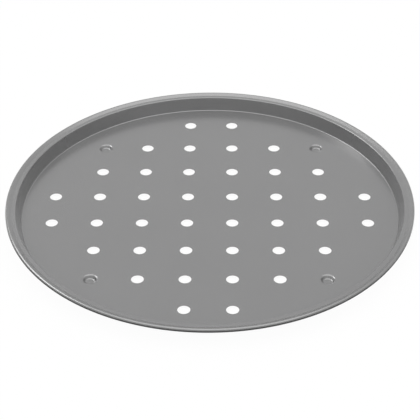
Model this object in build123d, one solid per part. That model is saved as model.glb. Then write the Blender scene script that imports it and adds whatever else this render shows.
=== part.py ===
from build123d import *
import math
import os

# Round perforated pizza pan, pressed from one thin coated steel sheet.
# The rim is curled over a steel wire that stiffens it.
# Millimetres, +Z up. The origin is under the centre of the pan, on the surface
# that its four feet stand on, and rows of holes run along X and Y.

# Sheet and wire
sheet_thickness = 0.4
wire_diameter = 1.8
wire_clearance = 0.35

# Tray: flat floor and leaning wall, measured on the upper face of the sheet
floor_diameter = 306.2
tray_depth = 11.2
wall_flare = 3.8
wall_bend_radius = 0.9

# Rim: a short flange that dips into a shallow groove, then the curled bead
crest_bend_radius = 0.9
groove_offset = 3.3
groove_dip = 0.2
groove_bend_radius = 0.45
bead_offset = 3.25
bead_rise = 1.2
curl_wrap_angle = 300.0

# Round holes on a square grid, with the corner places left out
hole_diameter = 9.8
hole_pitch = 36.4
hole_rows = 8

# Round feet pressed down from the floor at the outermost diagonal grid places.
# Both diameters are taken at the corners of the section, before its bends.
foot_diameter = 11.0
foot_flat_diameter = 7.2
foot_depth = 2.5
foot_inner_bend_radius = 1.8
foot_outer_bend_radius = 2.2
foot_seat_margin = 1.6

cutter_overrun = 1.0

# Worked-out sizes of the section
wire_radius = wire_diameter / 2
curl_inner_radius = wire_radius + wire_clearance
bead_radius = curl_inner_radius + sheet_thickness
floor_underside = foot_depth
floor_top = floor_underside + sheet_thickness
floor_radius = floor_diameter / 2
crest_radius = floor_radius + wall_flare
crest_height = floor_top + tray_depth
groove_radius = crest_radius + groove_offset
groove_height = crest_height - groove_dip
bead_centre_radius = groove_radius + bead_offset
bead_centre_height = groove_height + bead_rise - bead_radius


def tangent_angle_on_bead():
    """Angle, at the bead's centre, of the point where the sheet meets the bead."""
    run = bead_centre_radius - groove_radius
    drop = bead_centre_height - groove_height
    distance = math.hypot(run, drop)
    line_angle = math.atan2(drop, run) + math.asin(bead_radius / distance)
    return math.degrees(line_angle) + 90


def bead_point(angle):
    """Point on the bead's outer face at an angle about its centre."""
    return (
        bead_centre_radius + bead_radius * math.cos(math.radians(angle)),
        bead_centre_height + bead_radius * math.sin(math.radians(angle)),
    )


def shifted_corners(corners, shift):
    """Corners of the line that runs a fixed distance below a line of corners."""
    normals = []
    for (x0, z0), (x1, z1) in zip(corners, corners[1:]):
        length = math.hypot(x1 - x0, z1 - z0)
        normals.append(((z1 - z0) / length, (x0 - x1) / length))
    before = normals[:1] + normals
    after = normals + normals[-1:]
    shifted = []
    for (x, z), (ax, az), (bx, bz) in zip(corners, before, after):
        reach = shift / (1 + ax * bx + az * bz)
        shifted.append((x + (ax + bx) * reach, z + (az + bz) * reach))
    return shifted


def lower_radii(corners, radii):
    """Bend radii of the lower side, larger where the sheet turns upwards."""
    changed = []
    for radius, a, b, c in zip(radii, corners, corners[1:], corners[2:]):
        turn = (b[0] - a[0]) * (c[1] - b[1]) - (b[1] - a[1]) * (c[0] - b[0])
        changed.append(radius + math.copysign(sheet_thickness, turn))
    return changed


def sheet_lines(corners, radii):
    """Upper and lower side of a bent sheet, from the corners of its upper side."""
    lower_corners = shifted_corners(corners, sheet_thickness)
    upper = FilletPolyline(*corners, radius=radii)
    lower = FilletPolyline(*lower_corners, radius=lower_radii(corners, radii))
    return upper, lower


def section_face(edges):
    """Face in the XZ plane inside a closed line of edges."""
    return Plane.XZ * make_face(edges)


def pan_section():
    """Half section of the whole pan, from the axis to the end of the curl."""
    join_angle = tangent_angle_on_bead()
    corners = [
        (0, floor_top),
        (floor_radius, floor_top),
        (crest_radius, crest_height),
        (groove_radius, groove_height),
        bead_point(join_angle),
    ]
    radii = [wall_bend_radius, crest_bend_radius, groove_bend_radius]
    upper, lower = sheet_lines(corners, radii)
    centre = (bead_centre_radius, bead_centre_height)
    curl_outside = CenterArc(centre, bead_radius, join_angle, -curl_wrap_angle)
    curl_inside = CenterArc(centre, curl_inner_radius, join_angle, -curl_wrap_angle)
    axis_end = Line(upper @ 0, lower @ 0)
    curl_end = Line(curl_outside @ 1, curl_inside @ 1)
    lines = [upper, lower, curl_outside, curl_inside, axis_end, curl_end]
    return section_face([edge for line in lines for edge in line.edges()])


def foot_section():
    """Half section of one foot, from its own axis to the flat floor."""
    flat = foot_flat_diameter / 2
    mouth = foot_diameter / 2
    foot_top = floor_top - foot_depth
    corners = [
        (0, foot_top),
        (flat, foot_top),
        (mouth, floor_top),
        (mouth + foot_seat_margin, floor_top),
    ]
    upper, lower = sheet_lines(corners, [foot_inner_bend_radius, foot_outer_bend_radius])
    lines = [upper, lower, Line(upper @ 0, lower @ 0), Line(upper @ 1, lower @ 1)]
    return section_face([edge for line in lines for edge in line.edges()])


def grid_places():
    """Grid places of the pattern, as hole places and foot places."""
    half = (hole_rows - 1) / 2
    reach = math.hypot(half, 1 / 2)
    holes = []
    feet = []
    for row in range(hole_rows):
        for column in range(hole_rows):
            x = column - half
            y = row - half
            if math.hypot(x, y) > reach:
                continue
            outermost = math.hypot(abs(x) + 1, abs(y) + 1) > reach
            on_diagonal = abs(x) == abs(y)
            target = feet if on_diagonal and outermost else holes
            target.append((x * hole_pitch, y * hole_pitch))
    return holes, feet


def make_pan_body():
    """Pressed, perforated sheet with its wall, flange, curled bead and feet."""
    holes, feet = grid_places()
    body = revolve(pan_section(), Axis.Z)
    cut_height = sheet_thickness + 2 * cutter_overrun
    cut_level = floor_underside + sheet_thickness / 2
    seat = Cylinder(foot_diameter / 2 + foot_seat_margin, cut_height)
    body -= [Pos(x, y, cut_level) * seat for x, y in feet]
    foot = revolve(foot_section(), Axis.Z)
    body += [Pos(x, y) * foot for x, y in feet]
    punch = Cylinder(hole_diameter / 2, cut_height)
    body -= [Pos(x, y, cut_level) * punch for x, y in holes]
    return body


def make_rim_wire():
    """Steel wire ring that the rim is curled over."""
    ring = Torus(bead_centre_radius, wire_radius)
    return Pos(0, 0, bead_centre_height) * ring


def write_node(name, shape):
    """Write one named piece to its own file."""
    export_step(shape, f"parts/{name}.step")


os.makedirs("parts", exist_ok=True)
write_node("pan_body", make_pan_body())
write_node("rim_wire", make_rim_wire())
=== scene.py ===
import math
from collections import namedtuple

import bpy
from mathutils import Matrix, Vector
from mathutils.geometry import delaunay_2d_cdt


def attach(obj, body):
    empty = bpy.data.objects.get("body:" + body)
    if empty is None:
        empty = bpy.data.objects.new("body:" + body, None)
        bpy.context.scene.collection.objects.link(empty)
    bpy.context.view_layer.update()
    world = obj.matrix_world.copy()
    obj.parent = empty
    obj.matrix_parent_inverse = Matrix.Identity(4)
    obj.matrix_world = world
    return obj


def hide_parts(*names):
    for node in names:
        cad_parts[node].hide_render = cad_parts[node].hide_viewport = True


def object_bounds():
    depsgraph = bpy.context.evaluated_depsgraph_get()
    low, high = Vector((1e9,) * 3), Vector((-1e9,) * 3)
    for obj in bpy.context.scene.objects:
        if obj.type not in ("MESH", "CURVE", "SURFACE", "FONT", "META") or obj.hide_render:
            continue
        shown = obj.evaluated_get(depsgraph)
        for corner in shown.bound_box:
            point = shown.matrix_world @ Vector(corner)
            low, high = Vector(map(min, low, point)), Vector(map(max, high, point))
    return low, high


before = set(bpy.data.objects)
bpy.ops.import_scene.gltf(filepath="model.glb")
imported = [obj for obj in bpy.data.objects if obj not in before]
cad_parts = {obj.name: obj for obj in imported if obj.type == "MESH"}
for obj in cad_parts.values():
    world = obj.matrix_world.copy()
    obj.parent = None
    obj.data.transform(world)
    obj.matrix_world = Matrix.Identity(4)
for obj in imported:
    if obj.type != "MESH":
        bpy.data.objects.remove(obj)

# Round perforated pizza pan: one pressed, coated steel sheet whose rim is
# curled over a steel wire. Metres, +Z up, in the frame of the solid model.

bl_info = {
    "name": "Perforated pizza pan",
    "version": (1, 0, 0),
    "blender": (4, 5, 0),
    "location": "View3D > Sidebar > Pizza pan",
    "description": "Builds a coated, perforated steel pizza pan and a studio for it",
    "category": "Object",
}

SOLID_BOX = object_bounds()
BODY = "root"
MM = 0.001

# How finely round shapes are cut
RIM_SEGMENTS = 384
HOLE_SEGMENTS = 48
FOOT_SEGMENTS = 72
WIRE_SEGMENTS = 24
BEND_STEP = math.radians(7)
FEWEST_BEND_STEPS = 2
CURL_STEP = math.radians(9)
HOLE_EDGE_STEP = math.radians(30)
PLATE_MESH_PITCH = 9 * MM
PLATE_MESH_MARGIN = 2 * MM

# Settings of the triangulation: the whole hull is filled, and points this close are one
WHOLE_HULL = 0
SAME_PLACE = 1e-7

# A bend rubs bare sooner the tighter it is
RUB_RADIUS = 0.5 * MM
CURL_RUB = 0.35

# Spread of the roughness about its middle, and the gloss of the clear resin
ROUGHNESS_SPREAD = 0.06
WIRE_ROUGHNESS_SPREAD = 0.2
COATING_IOR = 1.5

# Octaves of each noise, and the height of the fine grain against the ripples under it
GRAIN_DETAIL = 2
RIPPLE_DETAIL = 1
TONE_DETAIL = 3
RUB_DETAIL = 4
WIRE_LINE_DETAIL = 3
GRAIN_HEIGHT_SHARE = 0.5

WHITE = (1, 1, 1, 1)

Spot = namedtuple("Spot", "place normal rub")


def length(label, meaning, default):
    """Property for one size in metres."""
    return bpy.props.FloatProperty(
        name=label, description=meaning, default=default, min=0, precision=5, unit="LENGTH"
    )


def share(label, meaning, default):
    """Property for a share from nothing to all."""
    return bpy.props.FloatProperty(
        name=label, description=meaning, default=default, min=0, max=1, subtype="FACTOR"
    )


def strength(label, meaning, default):
    """Property for the strength of a light, of which 1 is white."""
    return bpy.props.FloatProperty(name=label, description=meaning, default=default, min=0)


def colour(label, meaning, default):
    """Property for one colour."""
    return bpy.props.FloatVectorProperty(
        name=label, description=meaning, default=default, min=0, max=1, size=3, subtype="COLOR"
    )


class PanSizes(bpy.types.PropertyGroup):
    """Sizes of the pressed sheet and its wire."""

    sheet_thickness: length("Sheet thickness", "Thickness of the steel sheet", 0.4 * MM)
    wire_diameter: length("Wire diameter", "Diameter of the wire in the rim", 1.8 * MM)
    wire_clearance: length("Wire clearance", "Gap between the wire and the curl", 0.35 * MM)
    tray_depth: length("Tray depth", "From the floor up to the flange", 11.2 * MM)
    wall_flare: length("Wall flare", "How far the wall leans out", 3.8 * MM)
    wall_bend: length("Wall bend", "Bend where the floor meets the wall", 0.9 * MM)
    crest_bend: length("Crest bend", "Bend at the top of the wall", 0.9 * MM)
    groove_offset: length("Groove offset", "From the crest out to the groove", 3.3 * MM)
    groove_dip: length("Groove dip", "How far the flange dips", 0.2 * MM)
    groove_bend: length("Groove bend", "Bend in the groove", 0.45 * MM)
    bead_offset: length("Bead offset", "From the groove out to the curl's centre", 3.25 * MM)
    bead_rise: length("Bead rise", "From the groove up to the top of the curl", 1.2 * MM)
    curl_angle: bpy.props.FloatProperty(
        name="Curl angle",
        description="How far the sheet wraps round the wire",
        default=math.radians(300),
        subtype="ANGLE",
    )
    hole_diameter: length("Hole diameter", "Diameter of each round hole", 9.8 * MM)
    hole_pitch: length("Hole pitch", "Distance from hole to hole", 36.4 * MM)
    hole_rows: bpy.props.IntProperty(name="Hole rows", description="Rows in the pattern", default=8)
    hole_edge: length("Hole edge", "Rounding left by the punch", 0.1 * MM)
    foot_diameter: length("Foot diameter", "Width of each foot at its mouth", 11.0 * MM)
    foot_flat: length("Foot flat", "Width of each foot's flat bottom", 7.2 * MM)
    foot_depth: length("Foot depth", "How far each foot is pressed down", 2.5 * MM)
    foot_inner_bend: length("Foot inner bend", "Bend at the bottom of a foot", 1.8 * MM)
    foot_outer_bend: length("Foot outer bend", "Bend at the mouth of a foot", 2.2 * MM)
    foot_margin: length("Foot margin", "Sheet taken in round a foot's mouth", 1.6 * MM)


class CoatingLook(bpy.types.PropertyGroup):
    """Look of the baked-on coating and of the steel under it."""

    coat_colour: colour("Coating", "Colour of the coating", (0.197, 0.197, 0.198))
    steel_colour: colour("Bare steel", "Colour where the coating is rubbed", (0.45, 0.45, 0.44))
    metal_share: share("Metal share", "How metallic the coating looks", 0.65)
    roughness: share("Roughness", "Roughness of the coating", 0.25)
    top_coat: share("Top coat", "How glossy the clear top coat looks", 1.0)
    tone_amount: share("Tone drift", "How much the tone drifts over the pan", 0.04)
    tone_size: length("Tone size", "Size of the drifting patches", 60 * MM)
    grain_size: length("Grain size", "Size of the fine grain", 0.35 * MM)
    peel_size: length("Peel size", "Size of the soft ripples in the coating", 1.6 * MM)
    grain_depth: length("Grain depth", "Height of the grain", 0.004 * MM)
    rub_amount: share("Rubbed edges", "How much steel shows at the edges", 0.25)
    rub_size: length("Rub size", "Size of the patches in which the edges are rubbed", 6.4 * MM)


class WireLook(bpy.types.PropertyGroup):
    """Look of the drawn steel wire."""

    wire_colour: colour("Wire", "Colour of the wire", (0.42, 0.41, 0.40))
    roughness: share("Roughness", "Roughness of the wire", 0.32)
    line_depth: length("Line depth", "Depth of the drawing lines", 0.006 * MM)
    line_size: length("Line size", "Width of the drawing lines", 0.12 * MM)
    tone_amount: share("Tone drift", "How much the tone drifts along the wire", 0.12)
    tone_size: length("Tone size", "Size of the drifting patches", 12 * MM)


class StudioLook(bpy.types.PropertyGroup):
    """Floor, lamps and surroundings."""

    floor_colour: colour("Floor", "Colour of the pale floor", (0.8, 0.8, 0.8))
    floor_glow: share("Floor glow", "How far the floor stays white to the camera", 0.965)
    surround_strength: strength("Surroundings", "Strength of the white surroundings", 0.93)
    softbox_strength: strength("Softbox", "Strength that the softbox adds overhead", 1.2)
    softbox_height: length("Softbox height", "Height of the softbox over the floor", 2.2)
    softbox_width: length("Softbox width", "Width of the square softbox", 2.6)
    flag_distance: length("Flag distance", "Distance of the flag from the pan", 2.2)
    flag_height: length("Flag height", "Height of the flag", 0.8)
    flag_colour: colour("Flag", "Colour of the flag", (0.53, 0.53, 0.53))
    panel_strength: strength("Panel", "Strength of the bright panel at the back left", 5.0)
    panel_distance: length("Panel distance", "Distance of the panel's foot from the pan", 2.2)
    panel_lean: length("Panel lean", "How far the panel's top leans in", 0.7)
    panel_foot: length("Panel foot", "Height of the panel's lower edge", 1.4)
    panel_top: length("Panel top", "Height of the panel's upper edge", 2.2)
    # The card below is seen only in reflections: its dark colour paints a dark reflection, standing
    # in for shade, on the near side of the rim
    card_reach: length("Card reach", "Reach of the dark card in front of the pan", 0.3)
    card_tuck: length("Card tuck", "How far the card lies under the rim", 0.02)
    shade_reflection_colour: colour("Card", "Colour of the card in front of the pan", (0.01, 0.01, 0.01))


def left_of(direction):
    """Direction turned a quarter to the left."""
    return Vector((-direction.y, direction.x))


def turned(direction, angle):
    """Direction turned to the left by an angle."""
    return direction * math.cos(angle) + left_of(direction) * math.sin(angle)


def bent_line(corners, radii):
    """Spots along a bent section line, with normals on its left side."""
    corners = [Vector(corner) for corner in corners]
    runs = [(b - a).normalized() for a, b in zip(corners, corners[1:])]
    spots = [Spot(corners[0], left_of(runs[0]), 0)]
    for corner, radius, before, after in zip(corners[1:], radii, runs, runs[1:]):
        turn = math.atan2(left_of(before).dot(after), before.dot(after))
        side = math.copysign(1, turn)
        start = corner - before * radius * math.tan(abs(turn) / 2)
        centre = start + left_of(before) * radius * side
        rub = 0 if turn > 0 else min(1, RUB_RADIUS / radius)
        steps = max(FEWEST_BEND_STEPS, math.ceil(abs(turn) / BEND_STEP))
        for step in range(steps + 1):
            normal = turned(left_of(before), turn * step / steps)
            middle = 1 - abs(2 * step / steps - 1)
            spots.append(Spot(centre - normal * radius * side, normal, rub * middle))
    spots.append(Spot(corners[-1], left_of(runs[-1]), 0))
    return spots


def arc_line(centre, radius, start, turn, rub=0, hollow=False, step_angle=CURL_STEP):
    """Spots along an arc, with normals that point away from its centre, or to it."""
    steps = round(abs(turn) / step_angle)
    spots = []
    for step in range(steps + 1):
        angle = start + turn * step / steps
        outward = Vector((math.cos(angle), math.sin(angle)))
        spots.append(Spot(centre + outward * radius, -outward if hollow else outward, rub))
    return spots


def under_side(spots, thickness):
    """The far side of a sheet, walked the other way."""
    return [Spot(spot.place - spot.normal * thickness, -spot.normal, 0) for spot in spots[::-1]]


def pan_levels(sizes):
    """Radii and heights of the section, worked inwards from the box of the solid model."""
    low, high = SOLID_BOX
    levels = {}
    bead_radius = sizes.wire_diameter / 2 + sizes.wire_clearance + sizes.sheet_thickness
    levels["bead_radius"] = bead_radius
    levels["bead_centre"] = Vector(((high.x - low.x) / 2 - bead_radius, high.z - bead_radius))
    groove_radius = levels["bead_centre"].x - sizes.bead_offset
    groove_height = high.z - sizes.bead_rise
    levels["groove"] = Vector((groove_radius, groove_height))
    levels["crest"] = levels["groove"] + Vector((-sizes.groove_offset, sizes.groove_dip))
    levels["wall_base"] = levels["crest"] - Vector((sizes.wall_flare, sizes.tray_depth))
    levels["floor_top"] = levels["wall_base"].y
    levels["plate_edge"] = levels["wall_base"].x - 2 * sizes.wall_bend
    return levels


def rim_section(sizes):
    """Closed section of the wall and rim, from the plate's top side round to its underside."""
    levels = pan_levels(sizes)
    centre = levels["bead_centre"]
    bead_radius = levels["bead_radius"]
    thickness = sizes.sheet_thickness
    away = centre - levels["groove"]
    join = math.atan2(away.y, away.x) + math.asin(bead_radius / away.length) + math.pi / 2
    joint = centre + turned(Vector((bead_radius, 0)), join)
    corners = [
        (levels["plate_edge"], levels["floor_top"]),
        levels["wall_base"],
        levels["crest"],
        levels["groove"],
        joint,
    ]
    upper = bent_line(corners, [sizes.wall_bend, sizes.crest_bend, sizes.groove_bend])
    end = join - sizes.curl_angle
    lip_centre = centre + turned(Vector((bead_radius - thickness / 2, 0)), end)
    curl_out = arc_line(centre, bead_radius, join, -sizes.curl_angle, CURL_RUB)
    lip = arc_line(lip_centre, thickness / 2, end, -math.pi)
    curl_in = arc_line(centre, bead_radius - thickness, end, sizes.curl_angle, hollow=True)
    lower = under_side(upper, thickness)
    return upper[:-1] + curl_out[:-1] + lip + curl_in[1:-1] + lower


def foot_line(sizes):
    """Upper side of one pressed foot, from its own axis out to the flat plate."""
    top = pan_levels(sizes)["floor_top"]
    mouth = sizes.foot_diameter / 2
    corners = [
        (0, top - sizes.foot_depth),
        (sizes.foot_flat / 2, top - sizes.foot_depth),
        (mouth, top),
        (mouth + sizes.foot_margin, top),
    ]
    return bent_line(corners, [sizes.foot_inner_bend, sizes.foot_outer_bend])


def faded_ends(spots):
    """The same spots, with no rub at the first and the last of them."""
    return [spots[0]._replace(rub=0), *spots[1:-1], spots[-1]._replace(rub=0)]


def hole_line(sizes):
    """Edge of one punched hole, from the top side down to the underside."""
    top = pan_levels(sizes)["floor_top"]
    bottom = top - sizes.sheet_thickness
    radius = sizes.hole_diameter / 2 + sizes.hole_edge
    upper_centre = Vector((radius, top - sizes.hole_edge))
    lower_centre = Vector((radius, bottom + sizes.hole_edge))
    quarter = math.pi / 2
    step = HOLE_EDGE_STEP
    upper = arc_line(upper_centre, sizes.hole_edge, quarter, quarter, 1, step_angle=step)
    lower = arc_line(lower_centre, sizes.hole_edge, math.pi, quarter, 1, step_angle=step)
    return faded_ends(upper) + faded_ends(lower)


def grid_places(sizes):
    """Places of the holes and of the feet, which take the outermost diagonal grid places."""
    half = (sizes.hole_rows - 1) / 2
    reach = math.hypot(half, 1 / 2)
    holes = []
    feet = []
    for row in range(sizes.hole_rows):
        for column in range(sizes.hole_rows):
            x = column - half
            y = row - half
            if math.hypot(x, y) > reach:
                continue
            outermost = math.hypot(abs(x) + 1, abs(y) + 1) > reach
            target = feet if abs(x) == abs(y) and outermost else holes
            target.append(Vector((x, y)) * sizes.hole_pitch)
    return holes, feet


class Shell:
    """Points, normals, rub values and faces of one closed sheet."""

    def __init__(self):
        self.places = []
        self.normals = []
        self.rubs = []
        self.faces = []

    def add_point(self, place, normal, rub=0):
        """Add one point and give its number."""
        self.places.append(place)
        self.normals.append(normal)
        self.rubs.append(rub)
        return len(self.places) - 1

    def add_face(self, *numbers):
        """Add a face, turned so that it looks along its points' normals."""
        a, b, c = [self.places[number] for number in numbers[:3]]
        facing = (b - a).cross(c - a)
        outward = sum((self.normals[number] for number in numbers), Vector((0, 0, 0)))
        self.faces.append(numbers if facing.dot(outward) > 0 else numbers[::-1])

    def add_ring(self, spot, segments, centre):
        """Ring of points that one section spot makes about an upright axis."""
        if spot.place.x == 0:
            place = Vector((centre.x, centre.y, spot.place.y))
            return [self.add_point(place, Vector((0, 0, spot.normal.y)), spot.rub)]
        ring = []
        for segment in range(segments):
            angle = 2 * math.pi * segment / segments
            out = Vector((math.cos(angle), math.sin(angle), 0))
            place = out * spot.place.x + Vector((centre.x, centre.y, spot.place.y))
            normal = out * spot.normal.x + Vector((0, 0, spot.normal.y))
            ring.append(self.add_point(place, normal, spot.rub))
        return ring

    def bridge(self, ring, other):
        """Faces between two rings, of which one may be a single point."""
        longest = max(len(ring), len(other))
        for here in range(longest):
            there = (here + 1) % longest
            if len(ring) == 1:
                self.add_face(ring[0], other[here], other[there])
            elif len(other) == 1:
                self.add_face(other[0], ring[here], ring[there])
            else:
                self.add_face(ring[here], ring[there], other[there], other[here])

    def spin(self, spots, segments, centre=Vector((0, 0))):
        """Turn a section line about an upright axis; gives its first and last ring."""
        rings = [self.add_ring(spot, segments, centre) for spot in spots]
        for ring, other in zip(rings, rings[1:]):
            self.bridge(ring, other)
        return rings[0], rings[-1]

    def fill_plate(self, outline, openings, up):
        """Flat plate between an outer ring and the rings of its openings.

        Each opening is a ring with its centre and radius.
        """
        height = self.places[outline[0]].z
        reach = self.places[outline[0]].xy.length
        numbers = list(outline)
        for ring, _centre, _radius in openings:
            numbers += ring
        edges = ring_edges(0, len(outline))
        start = len(outline)
        for ring, _centre, _radius in openings:
            edges += ring_edges(start, len(ring))
            start += len(ring)
        for place in lattice(reach - PLATE_MESH_MARGIN):
            clear = [(place - centre).length - radius for _ring, centre, radius in openings]
            if min(clear) > PLATE_MESH_MARGIN:
                place = Vector((place.x, place.y, height))
                numbers.append(self.add_point(place, Vector((0, 0, up))))
        flat = [self.places[number].xy for number in numbers]
        made = delaunay_2d_cdt(flat, edges, [], WHOLE_HULL, SAME_PLACE, True)
        points, _edges, triangles, sources = made[:4]
        for corners in triangles:
            middle = sum((points[corner] for corner in corners), Vector((0, 0))) / len(corners)
            if any((middle - centre).length < radius for _ring, centre, radius in openings):
                continue
            self.add_face(*[numbers[sources[corner][0]] for corner in corners])

    def to_object(self, name, material):
        """Smooth object with the exact normals of the section."""
        mesh = bpy.data.meshes.new(name)
        mesh.from_pydata(self.places, [], self.faces)
        mesh.polygons.foreach_set("use_smooth", [True] * len(mesh.polygons))
        mesh.normals_split_custom_set_from_vertices(self.normals)
        rub = mesh.attributes.new("rub", "FLOAT", "POINT")
        rub.data.foreach_set("value", self.rubs)
        mesh.materials.append(material)
        return add_object(name, mesh)


def add_object(name, data):
    """Object of a mesh, lamp or camera, put into the scene."""
    made = bpy.data.objects.new(name, data)
    bpy.context.scene.collection.objects.link(made)
    return made


def ring_edges(start, count):
    """Edges that close a ring of consecutive points."""
    return [(start + here, start + (here + 1) % count) for here in range(count)]


def lattice(reach):
    """Even triangular lattice of places inside a circle, to keep the plate's triangles neat."""
    row_step = PLATE_MESH_PITCH * math.sqrt(3) / 2
    rows = int(reach / row_step)
    columns = int(reach / PLATE_MESH_PITCH) + 1
    places = []
    for row in range(-rows, rows + 1):
        for column in range(-columns, columns + 1):
            x = (column + (row % 2) / 2) * PLATE_MESH_PITCH
            place = Vector((x, row * row_step))
            if place.length < reach:
                places.append(place)
    return places


def build_pan_shell(sizes):
    """Whole pressed sheet: rim and wall, plate, holes and feet."""
    shell = Shell()
    holes, feet = grid_places(sizes)
    top_outline, bottom_outline = shell.spin(rim_section(sizes), RIM_SEGMENTS)
    top_openings = []
    bottom_openings = []
    edge = hole_line(sizes)
    mouth = sizes.hole_diameter / 2 + sizes.hole_edge
    for centre in holes:
        top, bottom = shell.spin(edge, HOLE_SEGMENTS, centre)
        top_openings.append((top, centre, mouth))
        bottom_openings.append((bottom, centre, mouth))
    upper = foot_line(sizes)
    lower = under_side(upper, sizes.sheet_thickness)
    mouth = sizes.foot_diameter / 2 + sizes.foot_margin
    for centre in feet:
        top_openings.append((shell.spin(upper, FOOT_SEGMENTS, centre)[1], centre, mouth))
        bottom_openings.append((shell.spin(lower, FOOT_SEGMENTS, centre)[0], centre, mouth))
    shell.fill_plate(top_outline, top_openings, 1)
    shell.fill_plate(bottom_outline, bottom_openings, -1)
    return shell


def build_wire_shell(sizes):
    """Wire ring inside the curl."""
    shell = Shell()
    radius = sizes.wire_diameter / 2
    spots = []
    for segment in range(WIRE_SEGMENTS):
        angle = 2 * math.pi * segment / WIRE_SEGMENTS
        outward = Vector((math.cos(angle), math.sin(angle)))
        spots.append(Spot(pan_levels(sizes)["bead_centre"] + outward * radius, outward, 0))
    first, last = shell.spin(spots, RIM_SEGMENTS)
    shell.bridge(last, first)
    return shell


def feed(tree, socket, value):
    """Give a socket a plain value, or a link from another node's socket."""
    if isinstance(value, bpy.types.NodeSocket):
        tree.links.new(value, socket)
    else:
        socket.default_value = value


def feed_named(tree, node, inputs):
    """Feed the inputs of a node by their names, written with underscores for spaces."""
    for name, value in inputs.items():
        feed(tree, node.inputs[name.replace("_", " ")], value)


def add_node(tree, kind, settings=(), **inputs):
    """Node with its settings, and inputs that are values or other nodes' sockets."""
    made = tree.nodes.new(kind)
    for name, value in dict(settings).items():
        setattr(made, name, value)
    feed_named(tree, made, inputs)
    return made


def add_math(tree, operation, *values):
    """Math node; gives its output socket."""
    made = tree.nodes.new("ShaderNodeMath")
    made.operation = operation
    for socket, value in zip(made.inputs, values):
        feed(tree, socket, value)
    return made.outputs[0]


def add_noise(tree, place, size, detail):
    """Noise of one patch size over a place; gives its value socket."""
    scale = add_math(tree, "DIVIDE", 1, size)
    noise = add_node(tree, "ShaderNodeTexNoise", Vector=place, Scale=scale, Detail=detail)
    return noise.outputs["Fac"]


def start_group(name, inputs, outputs):
    """Empty shader node group with named sockets; gives the group and its two ends."""
    group = bpy.data.node_groups.new(name, "ShaderNodeTree")
    for label, kind in inputs.items():
        group.interface.new_socket(name=label, in_out="INPUT", socket_type=kind)
    for label, kind in outputs.items():
        group.interface.new_socket(name=label, in_out="OUTPUT", socket_type=kind)
    ends = group.nodes.new("NodeGroupInput"), group.nodes.new("NodeGroupOutput")
    return group, ends[0].outputs, ends[1].inputs


def shared_group(name, build):
    """Group of this name, built only once."""
    return bpy.data.node_groups.get(name) or build(name)


def build_grain_group(name):
    """Fine grain over soft ripples, as a height and as a mask."""
    inputs = {
        "Place": "NodeSocketVector",
        "Grain Size": "NodeSocketFloat",
        "Peel Size": "NodeSocketFloat",
    }
    outputs = {"Height": "NodeSocketFloat", "Grain": "NodeSocketFloat"}
    group, given, result = start_group(name, inputs, outputs)
    grain = add_noise(group, given["Place"], given["Grain Size"], GRAIN_DETAIL)
    peel = add_noise(group, given["Place"], given["Peel Size"], RIPPLE_DETAIL)
    low_grain = add_math(group, "MULTIPLY", grain, GRAIN_HEIGHT_SHARE)
    group.links.new(add_math(group, "ADD", low_grain, peel), result["Height"])
    group.links.new(grain, result["Grain"])
    return group


def build_tone_group(name):
    """Slow drift of a colour's tone."""
    inputs = {
        "Place": "NodeSocketVector",
        "Size": "NodeSocketFloat",
        "Amount": "NodeSocketFloat",
        "Color": "NodeSocketColor",
    }
    group, given, result = start_group(name, inputs, {"Color": "NodeSocketColor"})
    noise = add_noise(group, given["Place"], given["Size"], TONE_DETAIL)
    # The noise runs from 0 to 1, and the drift from -1 to 1
    drift = add_math(group, "MULTIPLY_ADD", noise, 2, -1)
    value = add_math(group, "MULTIPLY_ADD", drift, given["Amount"], 1)
    toned = add_node(group, "ShaderNodeHueSaturation", Value=value, Color=given["Color"])
    group.links.new(toned.outputs["Color"], result["Color"])
    return group


def build_rub_group(name):
    """Broken mask of bare metal along the rubbed edges."""
    inputs = {
        "Place": "NodeSocketVector",
        "Edge": "NodeSocketFloat",
        "Size": "NodeSocketFloat",
        "Amount": "NodeSocketFloat",
    }
    group, given, result = start_group(name, inputs, {"Mask": "NodeSocketFloat"})
    broken = add_noise(group, given["Place"], given["Size"], RUB_DETAIL)
    reach = add_math(group, "MULTIPLY", given["Edge"], broken)
    mask = add_math(group, "MULTIPLY", reach, given["Amount"])
    group.links.new(add_math(group, "MINIMUM", mask, 1), result["Mask"])
    return group


def place_group(tree, name, build, **inputs):
    """Shared group placed in a material with its own values."""
    made = tree.nodes.new("ShaderNodeGroup")
    made.node_tree = shared_group(name, build)
    feed_named(tree, made, inputs)
    return made.outputs


def empty_material(name):
    """Material with an empty node tree; gives it and the tree."""
    material = bpy.data.materials.new(name)
    material.use_nodes = True
    material.node_tree.nodes.clear()
    return material, material.node_tree


def with_alpha(rgb):
    """Colour with full opacity."""
    return (*rgb, 1)


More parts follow.
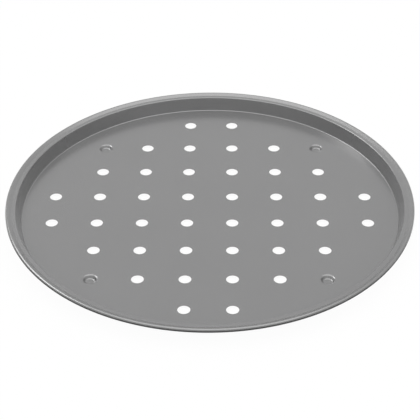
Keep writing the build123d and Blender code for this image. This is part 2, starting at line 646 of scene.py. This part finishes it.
def coated_steel(look):
    """Satin grey non-stick coating, with steel that glints at rubbed edges."""
    material, tree = empty_material("coated_steel")
    place = add_node(tree, "ShaderNodeTexCoord").outputs["Object"]
    edge = add_node(tree, "ShaderNodeAttribute", {"attribute_name": "rub"}).outputs["Fac"]
    grain = place_group(
        tree,
        "Coating grain",
        build_grain_group,
        Place=place,
        Grain_Size=look.grain_size,
        Peel_Size=look.peel_size,
    )
    toned = place_group(
        tree,
        "Tone drift",
        build_tone_group,
        Place=place,
        Size=look.tone_size,
        Amount=look.tone_amount,
        Color=with_alpha(look.coat_colour),
    )
    rub = place_group(
        tree,
        "Edge rub",
        build_rub_group,
        Place=place,
        Edge=edge,
        Size=look.rub_size,
        Amount=look.rub_amount,
    )
    mixed = add_node(
        tree,
        "ShaderNodeMixRGB",
        Fac=rub["Mask"],
        Color1=toned["Color"],
        Color2=with_alpha(look.steel_colour),
    )
    bare_gain = 1 - look.metal_share
    metallic = add_math(tree, "MULTIPLY_ADD", rub["Mask"], bare_gain, look.metal_share)
    smoothest = look.roughness - ROUGHNESS_SPREAD / 2
    roughness = add_math(tree, "MULTIPLY_ADD", grain["Grain"], ROUGHNESS_SPREAD, smoothest)
    bump = add_node(
        tree, "ShaderNodeBump", Height=grain["Height"], Distance=look.grain_depth, Strength=1
    )
    surface = add_node(
        tree,
        "ShaderNodeBsdfPrincipled",
        Base_Color=mixed.outputs["Color"],
        Metallic=metallic,
        Roughness=roughness,
        Normal=bump.outputs["Normal"],
        IOR=COATING_IOR,
        Coat_Weight=look.top_coat,
        Coat_Roughness=look.roughness,
        Coat_IOR=COATING_IOR,
    )
    add_node(tree, "ShaderNodeOutputMaterial", Surface=surface.outputs["BSDF"])
    return material


def drawn_wire(look):
    """Drawn steel with fine lines that run along the ring."""
    material, tree = empty_material("rim_wire_steel")
    place = add_node(tree, "ShaderNodeTexCoord").outputs["Object"]
    toned = place_group(
        tree,
        "Tone drift",
        build_tone_group,
        Place=place,
        Size=look.tone_size,
        Amount=look.tone_amount,
        Color=with_alpha(look.wire_colour),
    )
    parts = add_node(tree, "ShaderNodeSeparateXYZ", Vector=place).outputs
    across = add_node(tree, "ShaderNodeCombineXYZ", X=parts["X"], Y=parts["Y"]).outputs["Vector"]
    reach = add_node(tree, "ShaderNodeVectorMath", {"operation": "LENGTH"}, Vector=across)
    section = add_node(tree, "ShaderNodeCombineXYZ", X=reach.outputs["Value"], Y=parts["Z"])
    lines = add_noise(tree, section.outputs["Vector"], look.line_size, WIRE_LINE_DETAIL)
    smoothest = look.roughness - WIRE_ROUGHNESS_SPREAD / 2
    roughness = add_math(tree, "MULTIPLY_ADD", lines, WIRE_ROUGHNESS_SPREAD, smoothest)
    bump = add_node(tree, "ShaderNodeBump", Height=lines, Distance=look.line_depth, Strength=1)
    surface = add_node(
        tree,
        "ShaderNodeBsdfPrincipled",
        Base_Color=toned["Color"],
        Metallic=1,
        Roughness=roughness,
        Normal=bump.outputs["Normal"],
    )
    add_node(tree, "ShaderNodeOutputMaterial", Surface=surface.outputs["BSDF"])
    return material


class PIZZAPAN_OT_pressed_sheet(bpy.types.Operator):
    """Build the pressed, perforated and coated sheet with its curled rim"""

    bl_idname = "pizza_pan.pressed_sheet"
    bl_label = "Pressed sheet"

    def execute(self, context):
        sizes = context.scene.pan_sizes
        shell = build_pan_shell(sizes)
        sheet = shell.to_object("pressed_sheet", coated_steel(context.scene.coating_look))
        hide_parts("pan_body")
        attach(sheet, BODY)
        return {"FINISHED"}


class PIZZAPAN_OT_wire_ring(bpy.types.Operator):
    """Build the steel wire that stiffens the rim"""

    bl_idname = "pizza_pan.wire_ring"
    bl_label = "Wire ring"

    def execute(self, context):
        shell = build_wire_shell(context.scene.pan_sizes)
        ring = shell.to_object("wire_ring", drawn_wire(context.scene.wire_look))
        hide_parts("rim_wire")
        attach(ring, BODY)
        return {"FINISHED"}


# Viewpoint of the camera, seen from the middle of the pan's floor
CAMERA_AZIMUTH = math.radians(0.80974)
CAMERA_ELEVATION = math.radians(35.78706)
CAMERA_ROLL = math.radians(-0.45998)
CAMERA_DISTANCE = 1174.9 * MM
CAMERA_AIM = Vector((0.107, -0.522)) * MM

# Lens and sensor, in millimetres as the camera's settings are
CAMERA_LENS = 123.478
CAMERA_SENSOR = 36.0

# The floor lies just under the feet, and the card just over the floor
FLOOR_REACH = 4.0
FLOOR_DROP = 0.05 * MM
CARD_LIFT = 0.2 * MM

# Directions round the pan, turned from +X, and how far the bands reach to both sides
FRONT = math.radians(-90)
BACK_LEFT = math.radians(147)
CARD_HALF_WIDTH = math.radians(85)
PANEL_HALF_WIDTH = math.radians(22)
BAND_STEPS = 96


def add_mesh(name, places, faces, material):
    """Plain mesh object of the studio."""
    mesh = bpy.data.meshes.new(name)
    mesh.from_pydata(places, [], faces)
    mesh.materials.append(material)
    made = add_object(name, mesh)
    return made


def seen_directly(tree):
    """Socket that is 1 for camera, glossy and transmission rays, and 0 for the rest."""
    path = add_node(tree, "ShaderNodeLightPath").outputs
    seen = add_math(tree, "MAXIMUM", path["Is Camera Ray"], path["Is Glossy Ray"])
    return add_math(tree, "MAXIMUM", seen, path["Is Transmission Ray"])


def clear_from_below(tree, shader):
    """Finish a stage material that can be looked through from its back."""
    clear = add_node(tree, "ShaderNodeBsdfTransparent")
    backfacing = add_node(tree, "ShaderNodeNewGeometry").outputs["Backfacing"]
    sides = add_node(tree, "ShaderNodeMixShader", Fac=backfacing)
    tree.links.new(shader.outputs[0], sides.inputs[1])
    tree.links.new(clear.outputs[0], sides.inputs[2])
    add_node(tree, "ShaderNodeOutputMaterial", Surface=sides.outputs[0])


def floor_material(look):
    """Pale floor that stays near white where it is seen, yet keeps a soft shadow."""
    material, tree = empty_material("studio_floor")
    paint = add_node(tree, "ShaderNodeBsdfDiffuse", Color=with_alpha(look.floor_colour))
    glow = add_node(tree, "ShaderNodeEmission", Color=WHITE, Strength=1)
    share_seen = add_math(tree, "MULTIPLY", seen_directly(tree), look.floor_glow)
    mix = add_node(tree, "ShaderNodeMixShader", Fac=share_seen)
    tree.links.new(paint.outputs[0], mix.inputs[1])
    tree.links.new(glow.outputs[0], mix.inputs[2])
    clear_from_below(tree, mix)
    material.cycles.emission_sampling = "NONE"
    return material


def cloth_material(name, rgb):
    """Matt cloth or card."""
    material, tree = empty_material(name)
    cloth = add_node(tree, "ShaderNodeBsdfDiffuse", Color=with_alpha(rgb))
    clear_from_below(tree, cloth)
    return material


def add_floor(look):
    """Wide floor that the pan stands on."""
    corners = [(-1, -1), (1, -1), (1, 1), (-1, 1)]
    places = [(x * FLOOR_REACH, y * FLOOR_REACH, -FLOOR_DROP) for x, y in corners]
    add_mesh("studio_floor", places, [(0, 1, 2, 3)], floor_material(look))


def add_band(name, middle, half_width, section, material):
    """Band that curves round the pan to both sides of a middle direction.

    The section gives the radius and height of its two edges at a share of the way
    round, from 0 in the middle to 1 at its ends. The band faces the pan when the
    lower edge comes first, and up when it lies flat and the inner edge comes first.
    It works only through its reflections, so the camera sees past it.
    """
    places = []
    faces = []
    for step in range(BAND_STEPS + 1):
        way = 2 * step / BAND_STEPS - 1
        angle = middle + half_width * way
        for radius, height in section(abs(way)):
            places.append((radius * math.cos(angle), radius * math.sin(angle), height))
        if step:
            last = 2 * step
            faces.append((last - 2, last - 1, last + 1, last))
    band = add_mesh(name, places, faces, material)
    band.visible_camera = False
    band.visible_shadow = False
    band.visible_diffuse = False


def add_flag(look):
    """Low grey flag all round, which draws soft dark lines on the bright metal."""
    cloth = cloth_material("studio_flag", look.flag_colour)
    low = (look.flag_distance, 0)
    high = (look.flag_distance, look.flag_height)
    add_band("studio_flag", FRONT, math.pi, lambda way: (low, high), cloth)


def add_panel(look):
    """Bright leaning panel at the back left, which glints on the feet and the crest."""
    material, tree = empty_material("studio_panel")
    glow = add_node(tree, "ShaderNodeEmission", Color=WHITE, Strength=look.panel_strength)
    clear_from_below(tree, glow)
    material.cycles.emission_sampling = "NONE"
    foot = (look.panel_distance, look.panel_foot)
    top = (look.panel_distance - look.panel_lean, look.panel_top)
    add_band("studio_panel", BACK_LEFT, PANEL_HALF_WIDTH, lambda way: (foot, top), material)


def add_shade_reflection_card(look):
    """Crescent of dark card on the floor in front, seen only in reflections, which darkens the near
    side of the rim with a painted dark reflection that stands in for the shade under the rim.
    """
    card = cloth_material("studio_shade_reflection_card", look.shade_reflection_colour)
    rim = SOLID_BOX[1].x

    def section(way):
        share_left = math.cos(way * math.pi / 2)
        near = (rim - look.card_tuck * share_left, CARD_LIFT)
        far = (rim + look.card_reach * share_left, CARD_LIFT)
        return near, far

    add_band("studio_shade_reflection_card", FRONT, CARD_HALF_WIDTH, section, card)


def add_softbox(look):
    """Large soft lamp straight overhead.

    A square lamp looks as bright as its strength when it sends out pi times that
    for each square metre.
    """
    lamp = bpy.data.lights.new("softbox", "AREA")
    lamp.size = look.softbox_width
    lamp.energy = look.softbox_strength * math.pi * look.softbox_width**2
    add_object("softbox", lamp).location.z = look.softbox_height


def add_surroundings(look):
    """Even white surroundings."""
    world = bpy.data.worlds.new("studio_surroundings")
    world.use_nodes = True
    world.node_tree.nodes.clear()
    level = look.surround_strength
    light = add_node(world.node_tree, "ShaderNodeBackground", Color=WHITE, Strength=level)
    add_node(world.node_tree, "ShaderNodeOutputWorld", Surface=light.outputs[0])
    bpy.context.scene.world = world


def add_camera(floor_top):
    """Camera at the photograph's viewpoint."""
    azimuth, elevation, roll = CAMERA_AZIMUTH, CAMERA_ELEVATION, CAMERA_ROLL
    level = math.cos(elevation)
    back = Vector((math.sin(azimuth) * level, -math.cos(azimuth) * level, math.sin(elevation)))
    right = Vector((math.cos(azimuth), math.sin(azimuth), 0))
    up = back.cross(right)
    rolled_right = right * math.cos(roll) + up * math.sin(roll)
    rolled_up = up * math.cos(roll) - right * math.sin(roll)
    lens = bpy.data.cameras.new("camera")
    lens.lens = CAMERA_LENS
    lens.sensor_width = CAMERA_SENSOR
    camera = add_object("camera", lens)
    turn = Matrix((rolled_right, rolled_up, back)).transposed()
    aim = Vector((CAMERA_AIM.x, CAMERA_AIM.y, floor_top))
    camera.matrix_world = Matrix.Translation(aim + back * CAMERA_DISTANCE) @ turn.to_4x4()
    bpy.context.scene.camera = camera


class PIZZAPAN_OT_studio(bpy.types.Operator):
    """Build the pale floor, the soft light and the camera"""

    bl_idname = "pizza_pan.studio"
    bl_label = "Studio"

    def execute(self, context):
        look = context.scene.studio_look
        add_floor(look)
        add_flag(look)
        add_panel(look)
        add_shade_reflection_card(look)
        add_softbox(look)
        add_surroundings(look)
        add_camera(pan_levels(context.scene.pan_sizes)["floor_top"])
        context.scene.view_settings.view_transform = "Standard"
        return {"FINISHED"}


class PIZZAPAN_PT_panel(bpy.types.Panel):
    """Sidebar panel with the pan's sizes, looks and builders."""

    bl_label = "Pizza pan"
    bl_idname = "PIZZAPAN_PT_panel"
    bl_space_type = "VIEW_3D"
    bl_region_type = "UI"
    bl_category = "Pizza pan"

    def draw(self, context):
        for operator in OPERATORS:
            self.layout.operator(operator.bl_idname)
        for group in GROUPS:
            for name in GROUPS[group].__annotations__:
                self.layout.prop(getattr(context.scene, group), name)


OPERATORS = (PIZZAPAN_OT_pressed_sheet, PIZZAPAN_OT_wire_ring, PIZZAPAN_OT_studio)
GROUPS = {
    "pan_sizes": PanSizes,
    "coating_look": CoatingLook,
    "wire_look": WireLook,
    "studio_look": StudioLook,
}


def register():
    """Add the classes and the scene's property groups."""
    for each in (*GROUPS.values(), *OPERATORS, PIZZAPAN_PT_panel):
        bpy.utils.register_class(each)
    for name, group in GROUPS.items():
        setattr(bpy.types.Scene, name, bpy.props.PointerProperty(type=group))


def unregister():
    """Take the classes and the property groups away again."""
    for name in GROUPS:
        delattr(bpy.types.Scene, name)
    for each in reversed((*GROUPS.values(), *OPERATORS, PIZZAPAN_PT_panel)):
        bpy.utils.unregister_class(each)


def main():
    """Build the pan and its studio."""
    register()
    bpy.ops.pizza_pan.pressed_sheet()
    bpy.ops.pizza_pan.wire_ring()
    bpy.ops.pizza_pan.studio()


if __name__ == "__main__":
    main()
